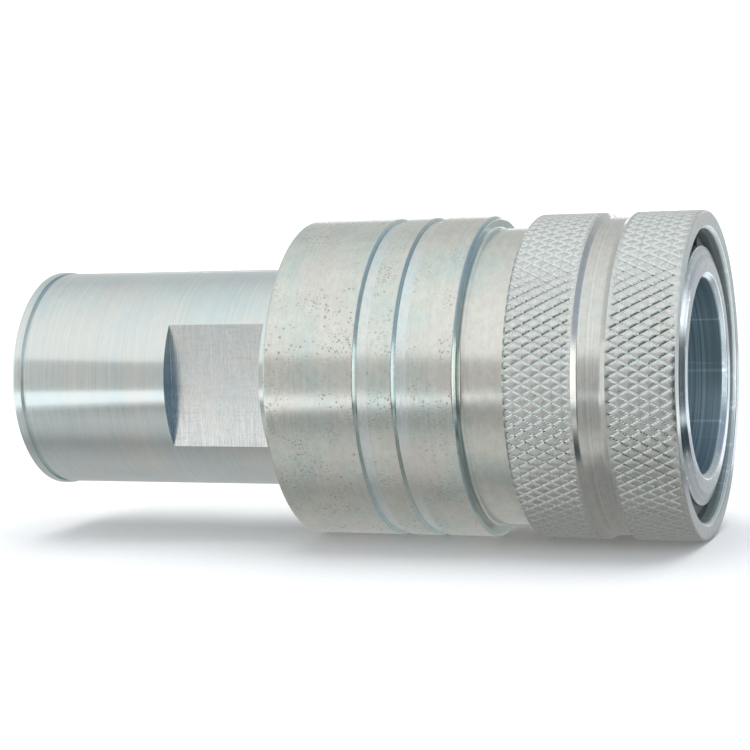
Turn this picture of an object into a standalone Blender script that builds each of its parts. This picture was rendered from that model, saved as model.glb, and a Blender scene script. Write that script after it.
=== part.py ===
"""The female half of a quick disconnect hydraulic coupler, as an assembly of separate pieces.

Frame: metres, +X along the coupler's axis from the port face (x = 0) to the mouth, +Z up.
The constants below are in millimetres. An outline is a list of (x, radius) points that is turned
about the X axis. Neighbouring pieces keep CLEARANCE between them.
"""
import math

import bmesh
import bpy
from mathutils import Matrix

MM = 0.001
CLEARANCE = 0.3
FINE_SIDES = 40
COARSE_SIDES = 24
SMOOTH_ANGLE = math.radians(35.0)

# Port adapter: a tube with an end lip, a tapered port and two wrench flats.
TUBE_R = 13.25
LIP_R = 13.45
LIP_LENGTH = 1.15
LIP_GROOVE_LENGTH = 0.4
LIP_GROOVE_R = 13.05
LIP_CHAMFER = 0.3
PORT_MOUTH_R = 10.5
PORT_END_R = 9.7
PORT_DEPTH = 15.0
PORT_CHAMFER = 0.8
FLOW_R = 8.0
FLAT_HALF_WIDTH = 11.05
FLAT_START_X = 20.45
FLAT_END_X = 32.8

# Socket body: collar, neck and nose in one piece.
SHOULDER_X = 35.7
BODY_R = 19.0
BODY_CHAMFER = 0.4
COLLAR_GROOVE_XS = (46.65, 51.3)
COLLAR_GROOVE_WIDTH = 1.7
COLLAR_GROOVE_DEPTH = 0.6
COLLAR_GROOVE_SLOPE = 0.3
COLLAR_END_X = 58.8
COLLAR_EDGE = 0.15
NECK_R = 17.5
NECK_FILLET = 0.35
NECK_END_X = 64.9
NOSE_R = 14.95
NOSE_TIP_X = 83.3
NOSE_FACE_R = 13.3
NOSE_BEVEL_LENGTH = 0.6
MOUTH_R = 11.9
MOUTH_BEVEL_LENGTH = 0.55
BORE_R = 11.25
BORE_STEP_X = 73.3
INNER_BORE_R = 10.3
SEAL_GROOVE_R = 12.75
SEAL_GROOVE_START_X = 66.65
SEAL_GROOVE_END_X = 70.8
SEAT_R = 9.0
SEAT_FRONT_X = 61.0
SEAT_REAR_X = 60.3
VALVE_CAVITY_R = 11.7
VALVE_CAVITY_START_X = 49.4
VALVE_CAVITY_END_X = 58.2
GUIDE_BORE_R = 12.4
GUIDE_BORE_START_X = 47.3
THREAD_BORE_R = 12.9
THREAD_BORE_START_X = 36.2

# Adapter spigot: the part of the adapter inside the body.
SPIGOT_R = 12.6
SPIGOT_END_X = 47.0
SPIGOT_BORE_R = 10.0
SPIGOT_FLARE_START_X = 33.0
SPIGOT_FLARE_END_X = 35.0
SPIGOT_GROOVE_R = 11.0
SPIGOT_GROOVE_START_X = 43.0
SPIGOT_GROOVE_END_X = 45.8

# Locking balls and the travel that frees them.
BALL_COUNT = 8
BALL_R = 2.25
BALL_X = 76.5
BALL_CENTRE_R = NOSE_R - BALL_R
BALL_HOLE_R = 2.62
BALL_HOLE_THROAT_R = 2.15
BALL_SEGMENTS = 12
BALL_RINGS = 8

# Locking sleeve.
SLEEVE_START_X = 64.1
SLEEVE_END_X = 83.4
SLEEVE_R = 19.0
SLEEVE_CHAMFER = 0.45
SLEEVE_GROOVE_START_X = 71.9
SLEEVE_GROOVE_END_X = 75.7
SLEEVE_GROOVE_R = 18.46
SLEEVE_BORE_R = NECK_R + CLEARANCE
LAND_R = NOSE_R + CLEARANCE
LAND_START_X = 75.1
LAND_PAST_BALL = 0.85
LAND_END_X = BALL_X + LAND_PAST_BALL
RELIEF_R = 16.15
COUNTERBORE_R = 16.88
COUNTERBORE_X = 80.2
SLEEVE_MOUTH_R = 17.25

# Stop ring: a snap ring in a groove on the nose.
STOP_RING_START_X = 80.5
STOP_RING_LENGTH = 1.2
STOP_RING_OUTER_R = 16.55
STOP_RING_GROOVE_R = 13.75
STOP_RING_GAP_ANGLE = math.radians(24.0)

# Follower washer and sleeve spring.
FOLLOWER_LENGTH = 0.8
FOLLOWER_OUTER_R = 17.5
SLEEVE_SPRING_MEAN_R = 16.35
SLEEVE_SPRING_WIRE_R = 0.55
SLEEVE_SPRING_TURNS = 3.0

# Valve: poppet, its seal, its nose, its spring and its guide.
HEAD_R = 10.0
HEAD_START_X = 54.9
HEAD_END_X = 57.2
STEM_R = 3.0
STEM_START_X = 37.5
STUD_R = 3.5
STUD_END_X = 63.2
POPPET_SEAL_START_X = 57.5
POPPET_SEAL_EDGE_X = 59.0
POPPET_SEAL_END_X = 59.7
POPPET_SEAL_OUTER_R = 10.2
POPPET_SEAL_FRONT_R = 9.2
POPPET_NOSE_START_X = 60.0
POPPET_NOSE_RIM_X = 61.3
POPPET_NOSE_RIM_R = 8.6
POPPET_NOSE_R = 4.8
POPPET_NOSE_TIP_X = 66.0
POPPET_NOSE_TIP_BEVEL = 1.2
GUIDE_HUB_START_X = 38.5
GUIDE_HUB_END_X = 43.5
GUIDE_HUB_R = 5.0
GUIDE_HUB_BORE_R = STEM_R + CLEARANCE
GUIDE_SHOULDER_R = 5.6
GUIDE_CONE_START_X = 41.5
GUIDE_CONE_END_X = 46.8
GUIDE_RECESS_START_X = 47.9
GUIDE_RING_END_X = 49.1
GUIDE_RING_START_X = 47.4
GUIDE_RING_OUTER_R = 12.1
GUIDE_RING_INNER_R = 9.6
GUIDE_HOLE_R = 1.9
GUIDE_HOLE_PITCH_R = 7.6
GUIDE_HOLE_COUNT = 6
GUIDE_HOLE_START_ANGLE = math.radians(10.0)
VALVE_SPRING_MEAN_R = 4.5
VALVE_SPRING_WIRE_R = 0.6
VALVE_SPRING_TURNS = 4.0

# Seals: O-rings are turned from a round section, backup rings from a square one.
RING_SECTION_SIDES = 8
PROBE_SEAL_X = 68.15
PROBE_SEAL_MEAN_R = 11.3
PROBE_SEAL_WIRE_R = 1.2
PROBE_BACKUP_START_X = 69.65
PROBE_BACKUP_LENGTH = 0.85
ADAPTER_RING_X = 44.85
ADAPTER_RING_MEAN_R = 11.95
ADAPTER_RING_WIRE_R = 0.65
ADAPTER_BACKUP_START_X = 43.3
ADAPTER_BACKUP_LENGTH = 0.6

COIL_POINTS_PER_TURN = 16
CUTTER_REACH = 30.0
EMPTY_SIZE = 5.0


def clear_scene():
    for thing in list(bpy.data.objects):
        bpy.data.objects.remove(thing, do_unlink=True)


def material(name, colour, roughness, metallic):
    """Make a Principled material."""
    made = bpy.data.materials.new(name)
    made.use_nodes = True
    shader = made.node_tree.nodes["Principled BSDF"]
    shader.inputs["Base Color"].default_value = (*colour, 1.0)
    shader.inputs["Roughness"].default_value = roughness
    shader.inputs["Metallic"].default_value = metallic
    return made


def new_object(name, data, look=None, parent=None):
    """Link an object to the scene, with its material and its parent."""
    made = bpy.data.objects.new(name, data)
    bpy.context.scene.collection.objects.link(made)
    if look:
        data.materials.append(look)
    made.parent = parent
    return made


def new_empty(name, x):
    """Make an empty on the coupler's axis, for a piece that moves."""
    made = new_object(name, None)
    made.empty_display_size = EMPTY_SIZE * MM
    made.location = (x * MM, 0.0, 0.0)
    return made


def turned_mesh(name, outline, sides, angle=math.tau):
    """Turn a closed (x, radius) outline about the X axis, fully or through part of a circle."""
    mesh = bpy.data.meshes.new(name)
    shape = bmesh.new()
    corners = [shape.verts.new((x * MM, 0.0, radius * MM)) for x, radius in outline]
    pairs = zip(corners, corners[1:] + corners[:1])
    section = [shape.edges.new(pair) for pair in pairs if pair[0].co.z > 0.0 or pair[1].co.z > 0.0]
    bmesh.ops.spin(shape, geom=section, axis=(1, 0, 0), cent=(0, 0, 0), angle=angle, steps=sides,
                   use_merge=angle == math.tau)
    bmesh.ops.remove_doubles(shape, verts=shape.verts, dist=0.001 * MM)
    open_ends = [edge for edge in shape.edges if edge.is_boundary]
    bmesh.ops.holes_fill(shape, edges=open_ends)
    bmesh.ops.recalc_face_normals(shape, faces=shape.faces)
    shape.to_mesh(mesh)
    shape.free()
    mesh.shade_smooth()
    mesh.set_sharp_from_angle(angle=SMOOTH_ANGLE)
    return mesh


def turned(name, outline, look, sides=FINE_SIDES, parent=None):
    """Make a turned piece. The outline is in the coupler's frame, also under a parent."""
    made = new_object(name, turned_mesh(name, outline, sides), look, parent)
    if parent:
        made.location.x = -world_x(parent)
    return made


def world_x(thing):
    """Give an object's place along the axis, adding up its parents' locations."""
    place = 0.0
    while thing:
        place += thing.location.x
        thing = thing.parent
    return place


def round_section(x, mean_r, wire_r, sides=RING_SECTION_SIDES):
    """Give the outline of a ring's round section."""
    angles = [math.tau * (i + 0.5) / sides for i in range(sides)]
    return [(x + wire_r * math.cos(a), mean_r + wire_r * math.sin(a)) for a in angles]


def square_section(start_x, length, inner_r, outer_r):
    """Give the outline of a washer or a backup ring."""
    end_x = start_x + length
    return [(start_x, inner_r), (start_x, outer_r), (end_x, outer_r), (end_x, inner_r)]


def cut(target, cutter):
    """Take a hidden cutter out of a piece with a Boolean modifier."""
    cutter.hide_render = True
    cutter.display_type = "WIRE"
    modifier = target.modifiers.new("cut_" + cutter.name, "BOOLEAN")
    modifier.operation = "DIFFERENCE"
    modifier.solver = "EXACT"
    modifier.object = cutter


def coil(name, start_x, end_x, mean_r, wire_r, turns, look):
    """Make a spring as a curve with a round bevel along a helix."""
    first_x = start_x + wire_r
    last_x = end_x - wire_r
    count = round(turns * COIL_POINTS_PER_TURN) + 1
    curve = bpy.data.curves.new(name, "CURVE")
    curve.dimensions = "3D"
    curve.bevel_depth = wire_r * MM
    curve.bevel_resolution = 1
    curve.use_fill_caps = True
    curve.render_resolution_u = 0
    spline = curve.splines.new("POLY")
    spline.points.add(count - 1)
    for i, point in enumerate(spline.points):
        part = i / (count - 1)
        angle = math.tau * turns * part
        x = first_x + (last_x - first_x) * part
        y = mean_r * math.cos(angle)
        z = mean_r * math.sin(angle)
        point.co = (x * MM, y * MM, z * MM, 1.0)
    return new_object(name, curve, look)


def port_adapter(look):
    """Tube with the port and the wrench flats, and the spigot that enters the body."""
    groove_end = LIP_LENGTH + LIP_GROOVE_LENGTH
    tube_end = THREAD_BORE_START_X - CLEARANCE
    outline = [
        (0.0, PORT_MOUTH_R + PORT_CHAMFER),
        (0.0, LIP_R - LIP_CHAMFER),
        (LIP_CHAMFER, LIP_R),
        (LIP_LENGTH, LIP_R),
        (LIP_LENGTH, LIP_GROOVE_R),
        (groove_end, LIP_GROOVE_R),
        (groove_end, TUBE_R),
        (tube_end, TUBE_R),
        (tube_end, SPIGOT_R),
        (SPIGOT_GROOVE_START_X, SPIGOT_R),
        (SPIGOT_GROOVE_START_X, SPIGOT_GROOVE_R),
        (SPIGOT_GROOVE_END_X, SPIGOT_GROOVE_R),
        (SPIGOT_GROOVE_END_X, SPIGOT_R),
        (SPIGOT_END_X, SPIGOT_R),
        (SPIGOT_END_X, SPIGOT_BORE_R),
        (SPIGOT_FLARE_END_X, SPIGOT_BORE_R),
        (SPIGOT_FLARE_START_X, FLOW_R),
        (PORT_DEPTH + PORT_END_R - FLOW_R, FLOW_R),
        (PORT_DEPTH, PORT_END_R),
        (PORT_CHAMFER, PORT_MOUTH_R),
    ]
    adapter = turned("port_adapter", outline, look)
    for side, name in ((-1.0, "flat_cutter_near"), (1.0, "flat_cutter_far")):
        cut(adapter, flat_cutter(name, side))
    return adapter


def flat_cutter(name, side):
    """Box that mills one wrench flat, on the side of -Y or +Y."""
    depth = LIP_R
    mesh = bpy.data.meshes.new(name)
    shape = bmesh.new()
    size = (FLAT_END_X - FLAT_START_X, depth, CUTTER_REACH)
    centre = ((FLAT_START_X + FLAT_END_X) / 2.0, side * (FLAT_HALF_WIDTH + depth / 2.0), 0.0)
    place = Matrix.Translation([v * MM for v in centre])
    bmesh.ops.create_cube(shape, size=1.0, matrix=place @ Matrix.Diagonal([v * MM for v in size] + [1.0]))
    shape.to_mesh(mesh)
    shape.free()
    return new_object(name, mesh)


def collar_groove(start_x):
    """Outline points of one turned groove: sloped walls and a flat floor."""
    floor_r = BODY_R - COLLAR_GROOVE_DEPTH
    floor_start = start_x + COLLAR_GROOVE_SLOPE
    end_x = start_x + COLLAR_GROOVE_WIDTH
    floor_end = end_x - COLLAR_GROOVE_SLOPE
    return [(start_x, BODY_R), (floor_start, floor_r), (floor_end, floor_r), (end_x, BODY_R)]


def socket_body(look):
    """Collar, neck and nose, with the valve cavity, the seat and the probe's bore inside."""
    stop_groove_start = STOP_RING_START_X - CLEARANCE
    stop_groove_end = STOP_RING_START_X + STOP_RING_LENGTH + CLEARANCE
    outer = [
        (SHOULDER_X, TUBE_R + CLEARANCE),
        (SHOULDER_X, BODY_R - BODY_CHAMFER),
        (SHOULDER_X + BODY_CHAMFER, BODY_R),
    ]
    for groove_x in COLLAR_GROOVE_XS:
        outer += collar_groove(groove_x)
    outer += [
        (COLLAR_END_X - COLLAR_EDGE, BODY_R),
        (COLLAR_END_X, BODY_R - COLLAR_EDGE),
        (COLLAR_END_X, NECK_R + NECK_FILLET),
        (COLLAR_END_X + NECK_FILLET, NECK_R),
        (NECK_END_X, NECK_R),
        (NECK_END_X, NOSE_R),
        (stop_groove_start, NOSE_R),
        (stop_groove_start, STOP_RING_GROOVE_R),
        (stop_groove_end, STOP_RING_GROOVE_R),
        (stop_groove_end, NOSE_R),
        (NOSE_TIP_X - NOSE_BEVEL_LENGTH, NOSE_R),
        (NOSE_TIP_X, NOSE_FACE_R),
    ]
    inner = [
        (NOSE_TIP_X, MOUTH_R),
        (NOSE_TIP_X - MOUTH_BEVEL_LENGTH, BORE_R),
        (BORE_STEP_X, BORE_R),
        (BORE_STEP_X - (BORE_R - INNER_BORE_R), INNER_BORE_R),
        (SEAL_GROOVE_END_X, INNER_BORE_R),
        (SEAL_GROOVE_END_X, SEAL_GROOVE_R),
        (SEAL_GROOVE_START_X, SEAL_GROOVE_R),
        (SEAL_GROOVE_START_X, INNER_BORE_R),
        (SEAT_FRONT_X + INNER_BORE_R - SEAT_R, INNER_BORE_R),
        (SEAT_FRONT_X, SEAT_R),
        (SEAT_REAR_X, SEAT_R),
        (VALVE_CAVITY_END_X, VALVE_CAVITY_R),
        (VALVE_CAVITY_START_X, VALVE_CAVITY_R),
        (VALVE_CAVITY_START_X, GUIDE_BORE_R),
        (GUIDE_BORE_START_X, GUIDE_BORE_R),
        (GUIDE_BORE_START_X, THREAD_BORE_R),
        (THREAD_BORE_START_X, THREAD_BORE_R),
        (THREAD_BORE_START_X, TUBE_R + CLEARANCE),
    ]
    body = turned("socket_body", outer + inner, look)
    for index in range(BALL_COUNT):
        cut(body, ball_hole_cutter(index))
    return body


def ball_angle(index):
    """Angle of a ball about the axis, from +Z towards +Y; no ball stands right at the top."""
    return math.tau * (index + 0.5) / BALL_COUNT


def ball_hole_cutter(index):
    """Cone and cylinder that drill one ball hole, narrow at the bore so that the ball stays in."""
    name = f"ball_hole_cutter_{index + 1}"
    outline = [
        (0.0, INNER_BORE_R),
        (BALL_HOLE_THROAT_R, INNER_BORE_R),
        (BALL_HOLE_THROAT_R, BORE_R),
        (BALL_HOLE_R, BALL_CENTRE_R),
        (BALL_HOLE_R, SLEEVE_R),
        (0.0, SLEEVE_R),
    ]
    mesh = turned_mesh(name, [(height, radius) for radius, height in outline], COARSE_SIDES // 2)
    cutter = new_object(name, mesh)
    lift = Matrix.Rotation(math.radians(-90.0), 4, "Y")
    turn = Matrix.Rotation(-ball_angle(index), 4, "X")
    cutter.matrix_world = Matrix.Translation((BALL_X * MM, 0.0, 0.0)) @ turn @ lift
    return cutter


def locking_ball(index, look):
    """One ball, at its locked place, under an empty on the axis turned to the ball's own radius."""
    name = f"locking_ball_{index + 1}"
    place = new_empty(name + "_place", BALL_X)
    place.rotation_euler.x = -ball_angle(index)
    mesh = bpy.data.meshes.new(name)
    shape = bmesh.new()
    bmesh.ops.create_uvsphere(shape, u_segments=BALL_SEGMENTS, v_segments=BALL_RINGS, radius=BALL_R * MM)
    shape.to_mesh(mesh)
    shape.free()
    mesh.shade_smooth()
    ball = new_object(name, mesh, look, place)
    ball.location.z = BALL_CENTRE_R * MM
    return ball


def locking_sleeve(look, parent):
    """Sleeve with two grip bands, the land that holds the balls in, and the relief that frees them."""
    groove_slope = SLEEVE_R - SLEEVE_GROOVE_R
    outline = [
        (SLEEVE_START_X, SLEEVE_BORE_R),
        (SLEEVE_START_X, SLEEVE_R),
        (SLEEVE_GROOVE_START_X, SLEEVE_R),
        (SLEEVE_GROOVE_START_X + groove_slope, SLEEVE_GROOVE_R),
        (SLEEVE_GROOVE_END_X, SLEEVE_GROOVE_R),
        (SLEEVE_GROOVE_END_X, SLEEVE_R),
        (SLEEVE_END_X - SLEEVE_CHAMFER, SLEEVE_R),
        (SLEEVE_END_X, SLEEVE_R - SLEEVE_CHAMFER),
        (SLEEVE_END_X, SLEEVE_MOUTH_R),
        (SLEEVE_END_X - SLEEVE_MOUTH_R + COUNTERBORE_R, COUNTERBORE_R),
        (COUNTERBORE_X, COUNTERBORE_R),
        (COUNTERBORE_X, RELIEF_R),
        (LAND_END_X + RELIEF_R - LAND_R, RELIEF_R),
        (LAND_END_X, LAND_R),
        (LAND_START_X, LAND_R),
        (LAND_START_X, SLEEVE_BORE_R),
    ]
    return turned("locking_sleeve", outline, look, parent=parent)


def sleeve_stop_ring(look):
    """Snap ring with its gap at the top."""
    outline = square_section(STOP_RING_START_X, STOP_RING_LENGTH, STOP_RING_GROOVE_R + CLEARANCE,
                             STOP_RING_OUTER_R)
    span = math.tau - STOP_RING_GAP_ANGLE
    mesh = turned_mesh("sleeve_stop_ring", outline, COARSE_SIDES, span)
    ring = new_object("sleeve_stop_ring", mesh, look)
    ring.rotation_euler.x = STOP_RING_GAP_ANGLE / 2.0
    return ring


def spring_follower(look, parent):
    """Washer between the sleeve spring and the back of the sleeve's land."""
    end_x = LAND_START_X - CLEARANCE
    outline = square_section(end_x - FOLLOWER_LENGTH, FOLLOWER_LENGTH, LAND_R, FOLLOWER_OUTER_R)
    return turned("spring_follower", outline, look, COARSE_SIDES, parent)


def sleeve_spring(look):
    """Coil between the end of the neck and the follower."""
    start_x = NECK_END_X + CLEARANCE
    end_x = LAND_START_X - FOLLOWER_LENGTH - 2.0 * CLEARANCE
    return coil("sleeve_spring", start_x, end_x, SLEEVE_SPRING_MEAN_R, SLEEVE_SPRING_WIRE_R,
                SLEEVE_SPRING_TURNS, look)


def valve_poppet(look, parent):
    """Stem, head and the stud that carries the seal and the nose."""
    outline = [
        (STEM_START_X, 0.0),
        (STEM_START_X, STEM_R),
        (HEAD_START_X, STEM_R),
        (HEAD_START_X, HEAD_R),
        (HEAD_END_X, HEAD_R),
        (HEAD_END_X, STUD_R),
        (STUD_END_X, STUD_R),
        (STUD_END_X, 0.0),
    ]
    return turned("valve_poppet", outline, look, COARSE_SIDES, parent)


def poppet_seal(look, parent):
    """Ring with a bevelled front edge that closes on the seat."""
    outline = [
        (POPPET_SEAL_START_X, STUD_R + CLEARANCE),
        (POPPET_SEAL_START_X, POPPET_SEAL_OUTER_R),
        (POPPET_SEAL_EDGE_X, POPPET_SEAL_OUTER_R),
        (POPPET_SEAL_END_X, POPPET_SEAL_FRONT_R),
        (POPPET_SEAL_END_X, STUD_R + CLEARANCE),
    ]
    return turned("poppet_seal", outline, look, COARSE_SIDES, parent)


def poppet_nose(look, parent):
    """Cap nut with a rim that holds the seal, and a rounded tip that the plug's valve pushes."""
    pocket_end = STUD_END_X + CLEARANCE
    outline = [
        (POPPET_NOSE_START_X, STUD_R + CLEARANCE),
        (POPPET_NOSE_START_X, POPPET_NOSE_RIM_R),
        (POPPET_NOSE_RIM_X, POPPET_NOSE_RIM_R),
        (POPPET_NOSE_RIM_X, POPPET_NOSE_R),
        (POPPET_NOSE_TIP_X - POPPET_NOSE_TIP_BEVEL, POPPET_NOSE_R),
        (POPPET_NOSE_TIP_X, POPPET_NOSE_R - POPPET_NOSE_TIP_BEVEL),
        (POPPET_NOSE_TIP_X, 0.0),
        (pocket_end, 0.0),
        (pocket_end, STUD_R + CLEARANCE),
    ]
    return turned("poppet_nose", outline, look, COARSE_SIDES, parent)


def valve_spring(look):
    """Coil between the guide's hub and the back of the poppet's head."""
    return coil("valve_spring", GUIDE_HUB_END_X + CLEARANCE, HEAD_START_X - CLEARANCE,
                VALVE_SPRING_MEAN_R, VALVE_SPRING_WIRE_R, VALVE_SPRING_TURNS, look)


def valve_guide(look):
    """Hub for the stem, a cone and an outer ring, with flow holes drilled through the cone."""
    rear_ring_r = SPIGOT_BORE_R - CLEARANCE
    outline = [
        (GUIDE_HUB_START_X, GUIDE_HUB_BORE_R),
        (GUIDE_HUB_START_X, GUIDE_HUB_R),
        (GUIDE_CONE_START_X, GUIDE_HUB_R),
        (GUIDE_CONE_END_X, rear_ring_r),
        (GUIDE_RING_START_X, rear_ring_r),
        (GUIDE_RING_START_X, GUIDE_RING_OUTER_R),
        (GUIDE_RING_END_X, GUIDE_RING_OUTER_R),
        (GUIDE_RING_END_X, GUIDE_RING_INNER_R),
        (GUIDE_RECESS_START_X, GUIDE_RING_INNER_R),
        (GUIDE_HUB_END_X, GUIDE_SHOULDER_R),
        (GUIDE_HUB_END_X, GUIDE_HUB_BORE_R),
    ]
    guide = turned("valve_guide", outline, look, COARSE_SIDES)
    for index in range(GUIDE_HOLE_COUNT):
        cut(guide, guide_hole_cutter(index))
    return guide


def guide_hole_cutter(index):
    """Drill for one flow hole, along the axis."""
    name = f"guide_hole_cutter_{index + 1}"
    outline = [(GUIDE_HUB_START_X, 0.0), (GUIDE_HUB_START_X, GUIDE_HOLE_R),
               (VALVE_CAVITY_START_X, GUIDE_HOLE_R), (VALVE_CAVITY_START_X, 0.0)]
    cutter = new_object(name, turned_mesh(name, outline, COARSE_SIDES // 2))
    angle = GUIDE_HOLE_START_ANGLE + math.tau * index / GUIDE_HOLE_COUNT
    cutter.location.y = GUIDE_HOLE_PITCH_R * math.sin(angle) * MM
    cutter.location.z = GUIDE_HOLE_PITCH_R * math.cos(angle) * MM
    return cutter


def seals(rubber, backup):
    """O-rings in the body's and the spigot's grooves, each with its backup ring."""
    turned("probe_seal", round_section(PROBE_SEAL_X, PROBE_SEAL_MEAN_R, PROBE_SEAL_WIRE_R),
           rubber, COARSE_SIDES)
    turned("probe_backup_ring",
           square_section(PROBE_BACKUP_START_X, PROBE_BACKUP_LENGTH, INNER_BORE_R,
                          SEAL_GROOVE_R - CLEARANCE), backup, COARSE_SIDES)
    turned("adapter_o_ring", round_section(ADAPTER_RING_X, ADAPTER_RING_MEAN_R, ADAPTER_RING_WIRE_R),
           rubber, COARSE_SIDES)
    turned("adapter_backup_ring",
           square_section(ADAPTER_BACKUP_START_X, ADAPTER_BACKUP_LENGTH, SPIGOT_GROOVE_R + CLEARANCE,
                          SPIGOT_R), backup, COARSE_SIDES)


def main():
    clear_scene()
    zinc = material("zinc_plated_steel", (0.62, 0.65, 0.65), 0.32, 1.0)
    knurled = material("knurled_zinc", (0.6, 0.6, 0.57), 0.38, 1.0)
    spring_steel = material("spring_steel", (0.42, 0.42, 0.43), 0.3, 1.0)
    ball_steel = material("ball_steel", (0.75, 0.75, 0.77), 0.12, 1.0)
    valve_steel = material("valve_steel", (0.5, 0.53, 0.55), 0.28, 1.0)
    nitrile = material("nitrile_rubber", (0.02, 0.02, 0.02), 0.6, 0.0)
    ptfe = material("ptfe_backup", (0.8, 0.8, 0.76), 0.5, 0.0)

    port_adapter(zinc)
    socket_body(zinc)
    sleeve_stop_ring(spring_steel)
    sleeve_spring(spring_steel)
    valve_spring(spring_steel)
    valve_guide(valve_steel)
    seals(nitrile, ptfe)
    for index in range(BALL_COUNT):
        locking_ball(index, ball_steel)

    slide_axis = new_empty("sleeve_slide_axis", SLEEVE_START_X)
    spring_follower(valve_steel, slide_axis)
    locking_sleeve(knurled, slide_axis)

    valve_axis = new_empty("valve_axis", STEM_START_X)
    valve_poppet(valve_steel, valve_axis)
    poppet_seal(nitrile, valve_axis)
    poppet_nose(valve_steel, valve_axis)
    bpy.context.view_layer.update()


main()
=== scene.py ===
"""The looks of the quick disconnect coupler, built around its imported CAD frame.

Sizes in this script are millimetres along the coupler's axis (x) and from it (radius), as in the
CAD: x = 0 is the port face and +X leads to the mouth. MM turns them into the scene's metres.
Angles about the axis run from +Z towards +Y.
"""
import math

import bmesh
import bpy
import numpy as np
from mathutils import Matrix, Vector


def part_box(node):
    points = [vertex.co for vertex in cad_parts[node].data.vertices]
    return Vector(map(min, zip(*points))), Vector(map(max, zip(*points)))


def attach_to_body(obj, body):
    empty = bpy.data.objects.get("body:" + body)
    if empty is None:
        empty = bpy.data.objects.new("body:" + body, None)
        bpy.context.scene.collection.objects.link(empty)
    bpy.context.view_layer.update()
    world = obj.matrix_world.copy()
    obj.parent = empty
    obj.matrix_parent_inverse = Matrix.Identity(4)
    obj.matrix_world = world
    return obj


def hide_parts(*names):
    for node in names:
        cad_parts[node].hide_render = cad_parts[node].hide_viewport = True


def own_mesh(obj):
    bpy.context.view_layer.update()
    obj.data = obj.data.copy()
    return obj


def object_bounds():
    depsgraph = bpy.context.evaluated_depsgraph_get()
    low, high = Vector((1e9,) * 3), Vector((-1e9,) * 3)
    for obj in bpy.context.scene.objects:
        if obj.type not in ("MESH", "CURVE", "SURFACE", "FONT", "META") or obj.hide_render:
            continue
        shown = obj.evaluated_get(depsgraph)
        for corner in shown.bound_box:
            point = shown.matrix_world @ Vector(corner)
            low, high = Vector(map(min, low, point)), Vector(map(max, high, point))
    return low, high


MM = 0.001

# How finely things are made: sides of round shapes and steps along curves.
SIDES = 256
SMALL_SIDES = 96
BALL_SIDES = 64
HOLE_SIDES = 48
DRILL_SIDES = 32
ARC_STEPS = 5
RING_STEPS = 40
WIRE_SIDES = 14
COIL_STEPS = 48
SCREEN_STEPS = 96
WELD = 0.0005
SHARP_ANGLE = math.radians(32.0)

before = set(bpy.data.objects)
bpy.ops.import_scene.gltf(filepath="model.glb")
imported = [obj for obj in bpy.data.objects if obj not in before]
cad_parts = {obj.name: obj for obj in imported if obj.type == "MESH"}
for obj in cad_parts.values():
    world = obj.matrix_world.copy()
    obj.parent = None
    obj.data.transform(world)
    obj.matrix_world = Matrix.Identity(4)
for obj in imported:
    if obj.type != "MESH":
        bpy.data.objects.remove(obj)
cad_low, cad_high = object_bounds()


def span(node):
    """First x, last x and outer radius of a turned CAD node, in millimetres."""
    low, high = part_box(node)
    return low.x / MM, high.x / MM, high.z / MM


# The frame's own places.
FLOOR_Z = cad_low.z / MM
MIDDLE_X = (cad_low.x + cad_high.x) / 2.0 / MM
ADAPTER_START, ADAPTER_END, LIP_R = span("port_adapter")
BODY_START, BODY_END, BODY_R = span("socket_body")
SLEEVE_START, SLEEVE_END, SLEEVE_R = span("locking_sleeve")
FOLLOWER_START, FOLLOWER_END, FOLLOWER_R = span("spring_follower")
STOP_RING_START, STOP_RING_END, STOP_RING_R = span("sleeve_stop_ring")
POPPET_START, POPPET_END, HEAD_R = span("valve_poppet")
VALVE_SEAL_START, VALVE_SEAL_END, VALVE_SEAL_R = span("poppet_seal")
VALVE_NOSE_START, VALVE_NOSE_END, VALVE_NOSE_R = span("poppet_nose")
GUIDE_START, GUIDE_END, GUIDE_R = span("valve_guide")
SLEEVE_SPRING_START, SLEEVE_SPRING_END, _ = span("sleeve_spring")
VALVE_SPRING_START, VALVE_SPRING_END, _ = span("valve_spring")
PROBE_BACKUP_START, PROBE_BACKUP_END, PROBE_BACKUP_R = span("probe_backup_ring")
ADAPTER_BACKUP_START, ADAPTER_BACKUP_END, ADAPTER_BACKUP_R = span("adapter_backup_ring")
PROBE_SEAL_START, PROBE_SEAL_END, _ = span("probe_seal")
ADAPTER_RING_START, ADAPTER_RING_END, _ = span("adapter_o_ring")
BALL_START, BALL_END, _ = span("locking_ball_1")

# Port adapter. THREAD_FLANK is a flank's start and width in half pitches, FLOW_CONE (start, end) and
# SPIGOT_GROOVE (start, end, radius).
TUBE_R = 13.25
LIP_END = 1.15
LIP_GROOVE_END = 1.55
LIP_GROOVE_R = 13.05
FLAT_START = 20.45
FLAT_END = 32.8
FLAT_MARGIN = 0.25
FLAT_EDGE = 0.05
FLAT_HALF_WIDTH = 11.05
FLAT_STEPS = 48
TUBE_STEPS = 96
THREAD_MOUTH_R = 10.5
PORT_CHAMFER = 0.9
THREAD_PITCH = 1.814
THREAD_DEPTH = 0.75
THREAD_END = 15.0
THREAD_RUNOUT = 2.0
THREAD_TAPER = 1.0 / 32.0
THREAD_STEPS = 12
THREAD_FLANK = (0.12, 0.76)
DRILL_END = 16.7
FLOW_R = 8.0
FLOW_CONE = (33.0, 35.0)
SPIGOT_R = 12.6
SPIGOT_BORE_R = 10.0
SPIGOT_GROOVE = (43.0, 45.8, 11.0)
SPIGOT_GAP = 0.2

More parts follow.
